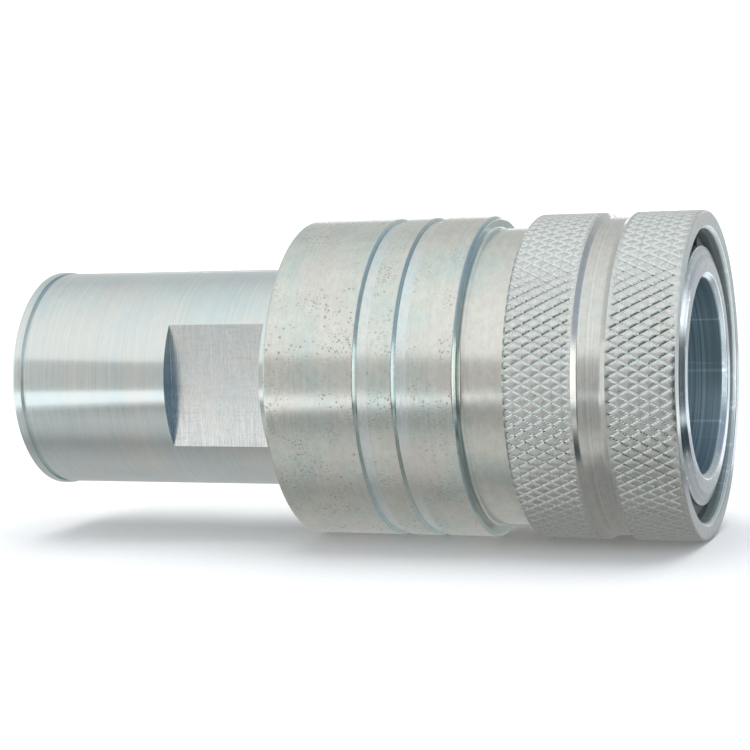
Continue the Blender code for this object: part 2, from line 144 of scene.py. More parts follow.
# Socket body. SEAL_GROOVE, SEAT and CAVITY are (start, end, radius), the two bores (start, radius), and
# NOSE_BEVEL is its start and its end's radius. COLLAR_CHAMFER is its reach along the axis and inwards.
TUBE_BORE_R = TUBE_R + 0.06
COLLAR_GROOVES = (46.65, 51.3)
COLLAR_GROOVE_WIDTH = 1.7
COLLAR_GROOVE_DEPTH = 0.42
COLLAR_GROOVE_LEAN = 0.36
COLLAR_GROOVE_WALL = 0.05
COLLAR_CHAMFER = (0.36, 0.42)
COLLAR_END = 58.8
NECK_R = 17.5
NECK_END = 64.9
NOSE_R = 14.95
NOSE_BEVEL = (82.7, 13.3)
MOUTH_R = 11.9
MOUTH_DEPTH = 0.55
BORE_R = 11.25
BORE_STEP = 73.3
INNER_BORE_R = 10.3
SEAL_GROOVE = (66.65, 70.8, 12.75)
SEAT = (60.3, 61.0, 9.0)
CAVITY = (49.4, 58.2, 11.7)
GUIDE_BORE = (47.3, 12.4)
THREAD_BORE = (36.2, 12.9)
STOP_GROOVE_R = 13.75
STOP_GROOVE_GAP = 0.15

# Locking balls and their holes, which widen over BALL_CONE, two distances from the axis.
BALL_COUNT = 8
BALL_HOLE_R = 2.6
BALL_HOLE_THROAT_R = 2.15
BALL_CONE = (BORE_R + 0.1, 12.9)

# Locking sleeve: COUNTERBORE is (start, radius), LAND (start, end, radius).
SLEEVE_GROOVE_START = 71.9
SLEEVE_GROOVE_END = 75.7
SLEEVE_GROOVE_R = 18.46
SLEEVE_CHAMFER = 0.2
SLEEVE_REAR_CHAMFER = 0.3
SLEEVE_BORE_R = 17.8
LAND = (75.1, 77.35, 15.25)
RELIEF_R = 16.15
COUNTERBORE = (80.2, 16.88)
SLEEVE_MOUTH_R = 17.25

# Knurl: KNURL_STARTS grooves of each hand, KNURL_STEPS columns apart and a column further on at each row.
# KNURL_CUT gives the share of the depth at 0 to 4 columns from a groove's middle; it leaves domed tops.
KNURL_STARTS = 91
KNURL_STEPS = 8
KNURL_DEPTH = 0.15
KNURL_FADE = 0.45
KNURL_CUT = ((0, 1, 2, 3, 4), (1.0, 0.2, 0.07, 0.02, 0.0))
KNURL_ROW = 0.2787
FRONT_BAND_SHIFT = 3

# Stop ring and springs. A spring is (mean radius, wire radius, turns); its dead turns lie close and its
# live ones rise faster, by the two paces.
STOP_RING_INNER_R = 14.05
STOP_RING_GAP = math.radians(12.0)
STOP_RING_STEPS = 160
STOP_RING_TIP = 0.8
SLEEVE_SPRING = (16.35, 0.55, 3.6)
VALVE_SPRING = (4.5, 0.6, 4.6)
DEAD_TURNS = 0.5
DEAD_PACE = 0.35
LIVE_PACE = 3.0

# Valve guide: a hub round the stem and a hollow cone with flow holes, out to a ring in the body. The cone
# and the hollow are (start, end), GUIDE_HOLLOW_R the radii there, and GUIDE_NECK is (x, radius).
GUIDE_HOLE_R = 3.3
GUIDE_HUB_R = 5.0
GUIDE_CONE = (41.5, 46.8)
GUIDE_HOLLOW = (43.5, 47.9)
GUIDE_HOLLOW_R = (5.6, 9.6)
GUIDE_NECK = (47.4, 9.7)
FLOW_HOLES = 6
FLOW_HOLE_R = 1.9
FLOW_HOLE_SPAN = (36.0, 50.0)
FLOW_CIRCLE_R = 7.6
FLOW_TURN = math.radians(10.0)

# Poppet: the stem's head and hub, the seal on it, and the nose with its centre mark of (depth, radius).
STEM_R = 3.0
HEAD_SPAN = (54.9, 57.2)
HUB_R = 3.5
VALVE_SEAL_BORE_R = 3.6
VALVE_SEAL_EDGE = 59.0
VALVE_SEAL_FACE_R = 9.2
VALVE_NOSE_BORE_R = 3.8
VALVE_NOSE_FLANGE = 61.3
VALVE_NOSE_TIP_R = 4.8
VALVE_NOSE_BORE_END = 63.5
CENTRE_MARK = (0.8, 0.9)

# O-rings, each (mean radius, half thickness), with the mould's flash line, and a backup ring's inside.
PROBE_RING = (11.3, 1.18)
ADAPTER_RING = (11.95, 0.6)
FLASH = 0.02
BACKUP_INNER_R = 11.3

# Camera, as fitted to the sleeve's, body's and tube's outlines.
CAMERA_LENS = 98.64
CAMERA_SENSOR = 36.0
CAMERA_X = 128.9
CAMERA_DISTANCE = 234.5
CAMERA_YAW = math.radians(20.23)
CAMERA_LIFT = math.radians(5.4)
CAMERA_ROLL = math.radians(-0.154)
CAMERA_SHIFT_Y = 0.002

# Colour of the small pits in the collar's plating.
PIT_COLOUR = (0.33, 0.29, 0.21)

# Floor: flat out to FLOOR_R, then a round bend up to a wall, whose glow grows over BACKDROP_RISE.
FLOOR_R = 560.0
FLOOR_BEND_R = 140.0
FLOOR_BEND_STEPS = 24
FLOOR_SIDES = 96
WALL_TOP = 180.0
BACKDROP_RISE = 120.0
BACKDROP_GLOW = 0.8

# Sky and sun: two ways into the sky, and levels that are shares of white.
WHITE = (1.0, 1.0, 1.0)
SKY_FRONT = (0.0, -0.75, 0.66)
SKY_RIGHT = (0.93, 0.0, 0.37)
SKY_LEVELS = (0.62, 1.0)
SKY_DIM = 0.8
SKY_COLOUR = (0.97, 0.99, 1.0)
SKY_RIGHT_COLOUR = (0.75, 0.85, 1.0)
SUN_LEAN = math.radians(15.0)
SUN_STRENGTH = 1.7
SUN_SPREAD = math.radians(60.0)

# Screens round the coupler's middle, seen in its reflections alone. GLOWS are their colours and strengths.
# A row of SCREENS is a name, a glow, the distance, the lower and upper edge, and the angles in degrees
# that the screen spans, from +X towards +Y.
TEAL = (0.35, 0.62, 0.72)
GLOWS = {
    "grey_screen": (WHITE, 0.55),
    "dark_screen": (TEAL, 0.07),
    "white_screen": (WHITE, 1.6),
    "blue_white_screen": ((0.82, 0.92, 1.0), 1.15),
    "pale_screen": ((0.93, 1.0, 1.0), 1.0),
}
SCREEN_BOTTOM = FLOOR_Z + 6.0
SCREEN_TOP = 35.0
SCREENS = (
    ("back_screen", "grey_screen", 115.0, SCREEN_BOTTOM, SCREEN_TOP, 30.0, 168.0),
    ("back_light", "blue_white_screen", 114.0, -15.0, -6.0, 55.0, 95.0),
    ("left_screen", "pale_screen", 115.0, SCREEN_BOTTOM, SCREEN_TOP, 168.0, 220.0),
    ("front_screen", "grey_screen", 115.0, SCREEN_BOTTOM, SCREEN_TOP, 220.0, 294.0),
    ("camera_patch", "dark_screen", 114.0, FLOOR_Z, 8.0, -81.44, -74.56),
    ("front_corner", "dark_screen", 115.0, FLOOR_Z, 42.0, -66.0, -40.0),
    ("side_light", "white_screen", 115.0, FLOOR_Z, 27.0, -40.0, -14.0),
    ("collar_shade", "dark_screen", 115.0, FLOOR_Z, -6.0, -14.0, -9.0),
    ("collar_light", "white_screen", 115.0, -6.0, 24.0, -14.0, -9.0),
    ("end_light", "white_screen", 115.0, FLOOR_Z, 4.0, -9.0, 7.0),
    ("right_screen", "dark_screen", 115.0, FLOOR_Z, 13.0, 7.0, 30.0),
    ("low_step", "dark_screen", 68.0, FLOOR_Z, -11.5, -15.0, 38.0),
)

# Mats just over the floor, seen in reflections alone: outlines of (x, y), how far the shaded floor's
# edge is blurred, and glows. MAT_TONES are the shaded floor's own (y, glow) pairs, from front to back.
MAT_TONES = ((-120.0, 0.38), (-44.0, 0.39), (-37.0, 0.5), (-28.0, 0.56), (-21.0, 0.5), (-15.5, 0.34),
             (-11.5, 0.4), (-7.0, 0.47), (60.0, 0.5))
MAT_EDGE = ((-60.0, 0.0), (-25.0, -30.0), (-5.0, -46.0), (15.0, -62.0), (38.0, -77.0), (46.0, -110.0),
            (60.0, -125.0), (110.0, -125.0), (110.0, 60.0), (-60.0, 60.0))
SLEEVE_SHADE = ((62.0, -22.0), (70.0, -22.0), (70.0, -27.0), (84.0, -27.0), (84.0, 30.0), (62.0, 30.0))
MAT_BLUR = (-7.0, -6.0)
MAT_BLUR_GLOW = 0.62
SLEEVE_SHADE_GLOW = 0.29
MAT_STEP = 0.01
DARK_CORNER = ((72.0, -125.0), (158.0, -125.0), (158.0, -12.0), (88.0, -12.0), (88.0, -24.0), (132.0, -24.0),
               (132.0, -32.0), (94.0, -32.0), (86.0, -59.0))


# ---------------------------------------------------------------- meshes

def eased(corners):
    """Outline points from (x, radius) or (x, radius, ease) corners; ease is how far a round edge reaches."""
    points = []
    count = len(corners)
    for i, corner in enumerate(corners):
        place = Vector(corner[:2])
        if len(corner) == 2:
            points.append(place)
            continue
        back = Vector(corners[i - 1][:2]) - place
        ahead = Vector(corners[(i + 1) % count][:2]) - place
        ease = corner[2]
        points.append(place + back.normalized() * min(ease * 1.5, back.length * 0.49))
        for step in range(ARC_STEPS + 1):
            part = step / ARC_STEPS
            points.append(place + back.normalized() * ease * (1.0 - part) ** 2
                          + ahead.normalized() * ease * part ** 2)
        points.append(place + ahead.normalized() * min(ease * 1.5, ahead.length * 0.49))
    return [(point.x, point.y) for point in points]


def even_angles(sides):
    return np.arange(sides) * math.tau / sides


def ring_faces(radii, closed):
    """Faces between rings of points; a twisted face is split along its valley."""
    rings, columns = radii.shape
    faces = []
    last = rings if closed else rings - 1
    for i in range(last):
        k = (i + 1) % rings
        here, there = radii[i], radii[k]
        right_here, right_there = np.roll(here, -1), np.roll(there, -1)
        twist = (here + right_there) - (right_here + there)
        a = i * columns + np.arange(columns)
        b = i * columns + (np.arange(columns) + 1) % columns
        c = k * columns + (np.arange(columns) + 1) % columns
        d = k * columns + np.arange(columns)
        plain = np.abs(twist) < 1e-4
        low = ~plain & (twist < 0.0)
        high = ~plain & (twist > 0.0)
        faces += np.stack([a, b, c, d], 1)[plain].tolist()
        faces += np.stack([a, b, c], 1)[low].tolist() + np.stack([a, c, d], 1)[low].tolist()
        faces += np.stack([a, b, d], 1)[high].tolist() + np.stack([b, c, d], 1)[high].tolist()
    return faces


def sweep_faces(rings, columns):
    """Faces between rings of points that lie one after the other."""
    faces = []
    for i in range(rings - 1):
        for j in range(columns):
            k = (j + 1) % columns
            faces.append((i * columns + j, i * columns + k, (i + 1) * columns + k, (i + 1) * columns + j))
    return faces


def new_mesh(name, points, faces):
    """Mesh from points in millimetres."""
    mesh = bpy.data.meshes.new(name)
    mesh.from_pydata((np.asarray(points) * MM).tolist(), [], faces)
    return mesh


def finish_mesh(mesh):
    """Weld double points, point the faces outwards and set the smooth shading."""
    shape = bmesh.new()
    shape.from_mesh(mesh)
    bmesh.ops.remove_doubles(shape, verts=shape.verts, dist=WELD * MM)
    bmesh.ops.recalc_face_normals(shape, faces=shape.faces)
    shape.to_mesh(mesh)
    shape.free()
    mesh.shade_smooth()
    mesh.set_sharp_from_angle(angle=SHARP_ANGLE)


def new_piece(name, mesh, look):
    made = bpy.data.objects.new(name, mesh)
    bpy.context.scene.collection.objects.link(made)
    mesh.materials.append(look)
    return made


def swept(name, points, rings, columns, look):
    """Make a cord-like piece from rings of points, with both ends closed."""
    faces = sweep_faces(rings, columns)
    faces += [tuple(range(columns)), tuple(range((rings - 1) * columns, rings * columns))]
    mesh = new_mesh(name, points, faces)
    finish_mesh(mesh)
    return new_piece(name, mesh, look)


def turned(name, rings, look, angles=None, sides=SIDES, closed=True):
    """Make a turned piece from rings (x, radius), where radius is a number or one for each angle."""
    angles = even_angles(sides) if angles is None else angles
    places = np.array([x for x, _ in rings])
    radii = np.stack([np.broadcast_to(radius, len(angles)) for _, radius in rings]).astype(float)
    x = np.broadcast_to(places[:, None], radii.shape)
    points = np.stack([x, radii * np.sin(angles), radii * np.cos(angles)], axis=2).reshape(-1, 3)
    mesh = new_mesh(name, points, ring_faces(radii, closed))
    finish_mesh(mesh)
    return new_piece(name, mesh, look)


def torus_section(middle_x, mean_r, wire_r):
    """Outline of an O-ring: a round section with the fine flash line that the mould leaves."""
    points = []
    for i in range(RING_STEPS):
        angle = math.tau * i / RING_STEPS
        r = wire_r + (FLASH if i in (0, RING_STEPS // 2) else 0.0)
        points.append((middle_x + r * math.sin(angle), mean_r + r * math.cos(angle)))
    return points


def coil(name, start, end, mean_r, wire_r, turns, look):
    """Make a compression spring whose end turns lie closed."""
    count = int(turns * COIL_STEPS) + 1
    turn = np.linspace(0.0, turns, count)
    dead = (turn < DEAD_TURNS) | (turn > turns - DEAD_TURNS)
    pace = np.where(dead, DEAD_PACE, LIVE_PACE)
    rise = np.concatenate([[0.0], np.cumsum((pace[1:] + pace[:-1]) / 2.0)])
    x = start + wire_r + (end - start - 2.0 * wire_r) * rise / rise[-1]
    angle = turn * math.tau
    centre = np.stack([x, mean_r * np.sin(angle), mean_r * np.cos(angle)], axis=1)
    along = np.gradient(centre, axis=0)
    along /= np.linalg.norm(along, axis=1)[:, None]
    out = np.stack([np.zeros(count), np.sin(angle), np.cos(angle)], axis=1)
    side = np.cross(along, out)
    around = even_angles(WIRE_SIDES)
    ring = (centre[:, None, :] + wire_r * (np.cos(around)[None, :, None] * out[:, None, :]
                                           + np.sin(around)[None, :, None] * side[:, None, :]))
    return swept(name, ring.reshape(-1, 3), count, WIRE_SIDES, look)


def cut(target, cutter):
    """Take a cutter out of a piece for good, then throw the cutter away."""
    modifier = target.modifiers.new("cut", "BOOLEAN")
    modifier.operation = "DIFFERENCE"
    modifier.solver = "EXACT"
    modifier.object = cutter
    bpy.context.view_layer.update()
    graph = bpy.context.evaluated_depsgraph_get()
    mesh = bpy.data.meshes.new_from_object(target.evaluated_get(graph))
    target.modifiers.clear()
    target.data = mesh
    finish_mesh(mesh)
    bpy.data.objects.remove(cutter)


# ---------------------------------------------------------------- materials

def add(tree, kind, inputs=None, **settings):
    """Add a node, set it up and link or set its inputs."""
    made = tree.nodes.new(kind)
    for key, value in settings.items():
        setattr(made, key, value)
    for key, value in (inputs or {}).items():
        if isinstance(value, bpy.types.NodeSocket):
            tree.links.new(value, made.inputs[key])
        else:
            made.inputs[key].default_value = value
    return made


def new_material(name):
    made = bpy.data.materials.new(name)
    made.use_nodes = True
    tree = made.node_tree
    return made, tree, tree.nodes["Principled BSDF"]


def object_place(tree):
    """Place in the object's own coordinates, which are metres."""
    return add(tree, "ShaderNodeTexCoord").outputs["Object"]


def noise(tree, stretch, detail=2.0, roughness=0.5):
    """Noise over the object's own coordinates; stretch is how many features a metre holds in x, y and z."""
    mapped = add(tree, "ShaderNodeMapping", {"Vector": object_place(tree), "Scale": stretch})
    made = add(tree, "ShaderNodeTexNoise", {"Vector": mapped.outputs["Vector"], "Scale": 1.0,
                                            "Detail": detail, "Roughness": roughness})
    return made.outputs["Fac"]


def ramp(tree, value, low, high, to_low=0.0, to_high=1.0):
    """Map a value's low..high to to_low..to_high, held inside them."""
    made = add(tree, "ShaderNodeMapRange", {"Value": value, "From Min": low, "From Max": high,
                                            "To Min": to_low, "To Max": to_high})
    return made.outputs["Result"]


def mix(tree, share, first, second, blend="MIX"):
    """Mix two colours by a share."""
    made = tree.nodes.new("ShaderNodeMix")
    made.data_type = "RGBA"
    made.blend_type = blend
    for index, value in ((0, share), (6, first), (7, second)):
        if isinstance(value, bpy.types.NodeSocket):
            tree.links.new(value, made.inputs[index])
        else:
            made.inputs[index].default_value = value if index == 0 else (*value, 1.0)
    return made.outputs[2]


def bump(tree, height, distance, normal=None):
    """Normal of a bump that is distance millimetres high, on top of another normal if one is given."""
    inputs = {"Height": height, "Distance": distance * MM, "Strength": 1.0}
    if normal:
        inputs["Normal"] = normal
    return add(tree, "ShaderNodeBump", inputs).outputs["Normal"]


def from_axis(tree):
    """Distance from the coupler's axis."""
    place = object_place(tree)
    across = add(tree, "ShaderNodeVectorMath", {0: place, 1: (0.0, 1.0, 1.0)}, operation="MULTIPLY")
    length = add(tree, "ShaderNodeVectorMath", {0: across.outputs["Vector"]}, operation="LENGTH")
    return length.outputs["Value"]


def math_node(tree, operation, first, second):
    return add(tree, "ShaderNodeMath", {0: first, 1: second}, operation=operation).outputs["Value"]


def grey_value(tree, value):
    made = add(tree, "ShaderNodeCombineColor", {"Red": value, "Green": value, "Blue": value})
    return made.outputs["Color"]


def specks(tree, per_metre, size, patches):
    """Mask of small scattered pits with wavy edges; size is a share of their spacing, and patches is how
    many groups of them a metre holds."""
    place = object_place(tree)
    wobble = add(tree, "ShaderNodeTexNoise", {"Vector": place, "Scale": 2500.0}).outputs["Color"]
    shift = add(tree, "ShaderNodeVectorMath", {0: wobble, "Scale": 0.4 * MM}, operation="SCALE")
    moved = add(tree, "ShaderNodeVectorMath", {0: place, 1: shift.outputs["Vector"]}, operation="ADD")
    cells = add(tree, "ShaderNodeTexVoronoi", {"Vector": moved.outputs["Vector"],
                                               "Scale": per_metre}).outputs["Distance"]
    spot = ramp(tree, cells, size * 0.35, size, 1.0, 0.0)
    patch = ramp(tree, noise(tree, (patches,) * 3, detail=3.0), 0.48, 0.62)
    return math_node(tree, "MULTIPLY", spot, patch)


def dress(tree, shader, colour, rough, normal):
    """Link a finish's colour, roughness and normal to its shader."""
    for key, value in (("Base Color", colour), ("Roughness", rough), ("Normal", normal)):
        tree.links.new(value, shader.inputs[key])


def turned_metal(name, light, dark, accent, roughness, marks=0.003, streaks=0.5, anisotropy=0.6,
                 pits=0.0, cloud_size=6.0, mottling=1.0, zones=()):
    """Plated turned steel: tinted clouds, streaks and tool marks round the axis, and pits on the collar.
    zones are (radius, colour, roughness) inside each radius, largest first; their colours are painted light
    and shade."""
    made, tree, shader = new_material(name)
    clouds = noise(tree, (1.0 / (cloud_size * MM),) * 3, detail=5.0, roughness=0.6)
    tint = noise(tree, (150.0, 90.0, 90.0), detail=3.0)
    mottle = noise(tree, (1500.0, 900.0, 900.0), detail=4.0, roughness=0.7)
    streak = noise(tree, (2600.0, 8.0, 8.0), detail=4.0, roughness=0.65)
    fine = noise(tree, (16000.0, 30.0, 30.0), detail=3.0, roughness=0.7)
    grain = noise(tree, (9000.0,) * 3, detail=2.0)
    colour = mix(tree, ramp(tree, clouds, 0.35, 0.65), light, dark)
    colour = mix(tree, ramp(tree, tint, 0.45, 0.62, 0.0, 0.9), colour, accent)
    shade = ramp(tree, streak, 0.3, 0.7, 1.0 - 0.14 * streaks, 1.0 + 0.05 * streaks)
    shade = math_node(tree, "MULTIPLY", shade,
                      ramp(tree, mottle, 0.3, 0.7, 1.0 - 0.08 * mottling, 1.0 + 0.06 * mottling))
    colour = mix(tree, 1.0, colour, grey_value(tree, shade), "MULTIPLY")
    bloom = ramp(tree, noise(tree, (2400.0,) * 3, detail=3.0), 0.35, 0.65)
    bloom = mix(tree, bloom, (1.0, 0.965, 0.95), (0.955, 1.0, 0.995))
    colour = mix(tree, mottling, colour, bloom, "MULTIPLY")
    rough = ramp(tree, streak, 0.25, 0.75, roughness * 0.8, roughness * 1.25)
    radius = from_axis(tree)
    scratch = ramp(tree, noise(tree, (12.0, 900.0, 900.0), detail=3.0, roughness=0.7), 0.58, 0.72, 1.0, 1.7)
    turning = math_node(tree, "MULTIPLY", scratch, ramp(tree, streak, 0.35, 0.65, 0.5, 1.12))
    turning = grey_value(tree, turning)
    # Zone colours are painted shade, painted reflection and painted light on the faces inside a radius.
    for zone_r, zone_colour, zone_roughness in zones:
        inside = ramp(tree, radius, (zone_r - 0.05) * MM, (zone_r + 0.05) * MM, 1.0, 0.0)
        colour = mix(tree, inside, colour, mix(tree, 1.0, zone_colour, turning, "MULTIPLY"))
        rough = add(tree, "ShaderNodeMix", {0: inside, 2: rough, 3: zone_roughness}).outputs[0]
    normal = bump(tree, fine, marks)
    normal = bump(tree, grain, marks * 0.35, normal)
    if pits:
        collar = ramp(tree, radius, (NECK_R + 0.3) * MM, (NECK_R + 0.5) * MM)
        small = specks(tree, 2400.0, 0.36, 260.0)
        large = specks(tree, 1200.0, 0.24, 150.0)
        pit = math_node(tree, "MAXIMUM", small, large)
        pit = math_node(tree, "MULTIPLY", pit, collar)
        colour = mix(tree, math_node(tree, "MULTIPLY", pit, pits), colour, PIT_COLOUR)
        normal = bump(tree, pit, -0.01, normal)
        rough = math_node(tree, "ADD", rough, math_node(tree, "MULTIPLY", pit, 0.25))
    tangent = add(tree, "ShaderNodeTangent", direction_type="RADIAL", axis="X").outputs["Tangent"]
    tree.links.new(tangent, shader.inputs["Tangent"])
    dress(tree, shader, colour, rough, normal)
    shader.inputs["Metallic"].default_value = 1.0
    shader.inputs["Anisotropic"].default_value = anisotropy
    shader.inputs["Anisotropic Rotation"].default_value = 0.25
    return made


def knurled_look():
    """Cut diamond knurl: dull grained tops between smooth grooves, with a paler, greener colour painted into
    the grooves as their sheen.
    """
    made, tree, shader = new_material("zinc_knurled")
    radius = from_axis(tree)
    groove = ramp(tree, radius, (SLEEVE_R - 0.1) * MM, (SLEEVE_R - 0.015) * MM, 1.0, 0.0)
    grain = noise(tree, (2600.0,) * 3, detail=4.0, roughness=0.75)
    clouds = noise(tree, (240.0,) * 3, detail=3.0)
    top = mix(tree, ramp(tree, grain, 0.35, 0.65), (0.55, 0.55, 0.52), (0.9, 0.89, 0.85))
    top = mix(tree, ramp(tree, clouds, 0.35, 0.65, 0.0, 0.5), top, (0.72, 0.78, 0.75))
    # Painted sheen: the grooves are coloured paler and greener than the tops.
    colour = mix(tree, groove, top, (0.82, 0.87, 0.84))
    rough = ramp(tree, grain, 0.3, 0.7, 0.26, 0.42)
    rough = math_node(tree, "MULTIPLY", rough, ramp(tree, groove, 0.0, 1.0, 1.0, 0.6))
    dress(tree, shader, colour, rough, bump(tree, grain, 0.02))
    shader.inputs["Metallic"].default_value = 1.0
    return made


def milled_look():
    """Face-milled flat: crossing cutter marks, pinkish where the plating is thin."""
    made, tree, shader = new_material("zinc_milled")
    across = noise(tree, (5200.0, 60.0, 260.0), detail=4.0, roughness=0.7)
    along = noise(tree, (300.0, 60.0, 5200.0), detail=4.0, roughness=0.7)
    chatter = noise(tree, (1300.0, 100.0, 900.0), detail=3.0, roughness=0.6)
    clouds = noise(tree, (260.0,) * 3, detail=3.0)
    colour = mix(tree, ramp(tree, clouds, 0.35, 0.65), (0.81, 0.81, 0.77), (0.74, 0.79, 0.78))
    colour = mix(tree, ramp(tree, chatter, 0.5, 0.75, 0.0, 0.5), colour, (0.9, 0.88, 0.86))
    colour = mix(tree, ramp(tree, along, 0.52, 0.7, 0.0, 0.35), colour, (0.5, 0.5, 0.5))
    normal = bump(tree, across, 0.005)
    normal = bump(tree, along, 0.004, normal)
    normal = bump(tree, chatter, 0.006, normal)
    dress(tree, shader, colour, ramp(tree, across, 0.3, 0.7, 0.16, 0.36), normal)
    shader.inputs["Metallic"].default_value = 1.0
    return made


def rubber_look():
    made, tree, shader = new_material("nitrile_rubber")
    grain = noise(tree, (6000.0,) * 3, detail=3.0)
    clouds = noise(tree, (300.0,) * 3)
    colour = mix(tree, ramp(tree, clouds, 0.3, 0.7), (0.012, 0.012, 0.013), (0.03, 0.03, 0.032))
    dress(tree, shader, colour, ramp(tree, grain, 0.2, 0.8, 0.38, 0.6), bump(tree, grain, 0.004))
    return made


def ptfe_look():
    made, tree, shader = new_material("ptfe")
    marks = noise(tree, (9000.0, 50.0, 50.0), detail=2.0)
    clouds = noise(tree, (250.0,) * 3)
    colour = mix(tree, ramp(tree, clouds, 0.3, 0.7), (0.82, 0.81, 0.77), (0.7, 0.69, 0.64))
    dress(tree, shader, colour, ramp(tree, marks, 0.2, 0.8, 0.35, 0.55), bump(tree, marks, 0.004))
    shader.inputs["Subsurface Weight"].default_value = 0.1
    shader.inputs["Subsurface Scale"].default_value = 0.5 * MM
    return made


def floor_look():
    made, tree, shader = new_material("white_paper")
    grain = noise(tree, (900.0,) * 3, detail=3.0)
    colour = mix(tree, ramp(tree, grain, 0.3, 0.7), (0.9, 0.9, 0.9), (0.88, 0.88, 0.88))
    tree.links.new(colour, shader.inputs["Base Color"])
    height = add(tree, "ShaderNodeSeparateXYZ", {"Vector": object_place(tree)}).outputs["Z"]
    glow = ramp(tree, height, FLOOR_Z * MM, (FLOOR_Z + BACKDROP_RISE) * MM, 0.0, BACKDROP_GLOW)
    tree.links.new(glow, shader.inputs["Emission Strength"])
    shader.inputs["Emission Color"].default_value = (*WHITE, 1.0)
    shader.inputs["Roughness"].default_value = 0.9
    shader.inputs["Specular IOR Level"].default_value = 0.1
    return made


# ---------------------------------------------------------------- pieces

def attach(piece, body, slot, *nodes):
    """Say which body a piece rides on and which CAD nodes it stands for; slot, where its finish comes from,
    is not used.
    """
    piece.name = f"{nodes[0]}_visual"
    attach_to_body(piece, body)
    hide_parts(*nodes)


def finish_or_shade_faces(piece, look, wanted):
    """Give another finish, or a copy with painted light and shade, to the faces that wanted(centre in
    millimetres, radius, normal) picks.
    """
    piece.data.materials.append(look)
    index = len(piece.data.materials) - 1
    for face in piece.data.polygons:
        centre = face.center / MM
        if wanted(centre, math.hypot(centre.y, centre.z), face.normal):
            face.material_index = index


def flat_angles():
    """Angles of the adapter's columns, with one right on each edge of the two wrench flats."""
    half = math.acos(FLAT_HALF_WIDTH / TUBE_R)
    stops = [side * math.pi / 2 + edge for side in (1, 3) for edge in (-half, half)]
    spans = zip(stops, stops[1:] + [stops[0] + math.tau], (FLAT_STEPS, TUBE_STEPS) * 2)
    return np.concatenate([np.linspace(first, last, steps, endpoint=False) for first, last, steps in spans])


def thread_rings(angles):
    """Rings of the tapered internal thread, from its inner end out to the port face."""
    rings = []
    step = THREAD_PITCH / THREAD_STEPS
    for x in np.arange(THREAD_END, LIP_END, -step):
        phase = (x / THREAD_PITCH - angles / math.tau) % 1.0
        tooth = np.clip((np.abs(phase - 0.5) * 2.0 - THREAD_FLANK[0]) / THREAD_FLANK[1], 0.0, 1.0)
        runout = np.clip((THREAD_END - x) / THREAD_RUNOUT, 0.0, 1.0)
        crest = THREAD_MOUTH_R - THREAD_DEPTH - THREAD_TAPER * x
        rings.append((x, crest + THREAD_DEPTH * tooth * runout))
    return rings


def port_adapter(look, milled_face, flat_end_painted_shade):
    """Tube with a lip, two milled wrench flats, a tapered inside thread and the spigot in the body."""
    angles = flat_angles()
    flat = np.minimum(TUBE_R, FLAT_HALF_WIDTH / np.maximum(np.abs(np.sin(angles)), 0.01))
    groove_start, groove_end, groove_r = SPIGOT_GROOVE
    shoulder = BODY_START + SPIGOT_GAP
    front = eased([
        (ADAPTER_START, THREAD_MOUTH_R + PORT_CHAMFER, 0.1), (ADAPTER_START, LIP_R, 0.3),
        (LIP_END, LIP_R, 0.08), (LIP_END, LIP_GROOVE_R), (LIP_GROOVE_END, LIP_GROOVE_R),
        (LIP_GROOVE_END, TUBE_R, 0.12), (FLAT_START - FLAT_MARGIN, TUBE_R),
    ])
    back = eased([
        (FLAT_END + FLAT_MARGIN, TUBE_R), (shoulder, TUBE_R), (shoulder, SPIGOT_R, 0.1),
        (groove_start, SPIGOT_R), (groove_start, groove_r), (groove_end, groove_r), (groove_end, SPIGOT_R),
        (ADAPTER_END, SPIGOT_R, 0.4), (ADAPTER_END, SPIGOT_BORE_R, 0.2), (FLOW_CONE[1], SPIGOT_BORE_R, 0.3),
        (FLOW_CONE[0], FLOW_R, 0.4), (DRILL_END, FLOW_R, 0.3),
        (THREAD_END + 0.2, THREAD_MOUTH_R - THREAD_DEPTH - THREAD_TAPER * THREAD_END),
    ])
    milled = [(FLAT_START, TUBE_R), (FLAT_START, flat + FLAT_EDGE), (FLAT_START + FLAT_EDGE, flat),
              (FLAT_END - FLAT_EDGE, flat), (FLAT_END, flat + FLAT_EDGE), (FLAT_END, TUBE_R)]
    milled = [(x, np.minimum(radius, TUBE_R)) for x, radius in milled]
    mouth = [(LIP_END, THREAD_MOUTH_R - 0.1), (0.7, THREAD_MOUTH_R + 0.25)]
    rings = front + milled + back + thread_rings(angles) + mouth
    piece = turned("port_adapter", rings, look, angles)

    def on_flat(centre, radius, normal):
        return abs(abs(centre.y) - FLAT_HALF_WIDTH) < WELD and abs(normal.y) > 0.99

    def at_flat_end(centre, radius, normal):
        return abs(centre.x - FLAT_START) < 0.1 and radius > FLAT_HALF_WIDTH and normal.x > 0.4

    finish_or_shade_faces(piece, milled_face, on_flat)
    # The end wall of each flat gets a dark blue colour painted on as its shade.
    finish_or_shade_faces(piece, flat_end_painted_shade, at_flat_end)
    attach(piece, "coupler_body", "plated_tube", "port_adapter")


def collar_groove(start):
    """Corners of one groove in the collar: a leaning wall, a flat floor and an upright wall."""
    end = start + COLLAR_GROOVE_WIDTH
    floor_r = BODY_R - COLLAR_GROOVE_DEPTH
    return [(start, BODY_R, 0.09), (start + COLLAR_GROOVE_LEAN, floor_r, 0.06),
            (end - COLLAR_GROOVE_WALL, floor_r, 0.06), (end, BODY_R, 0.04)]


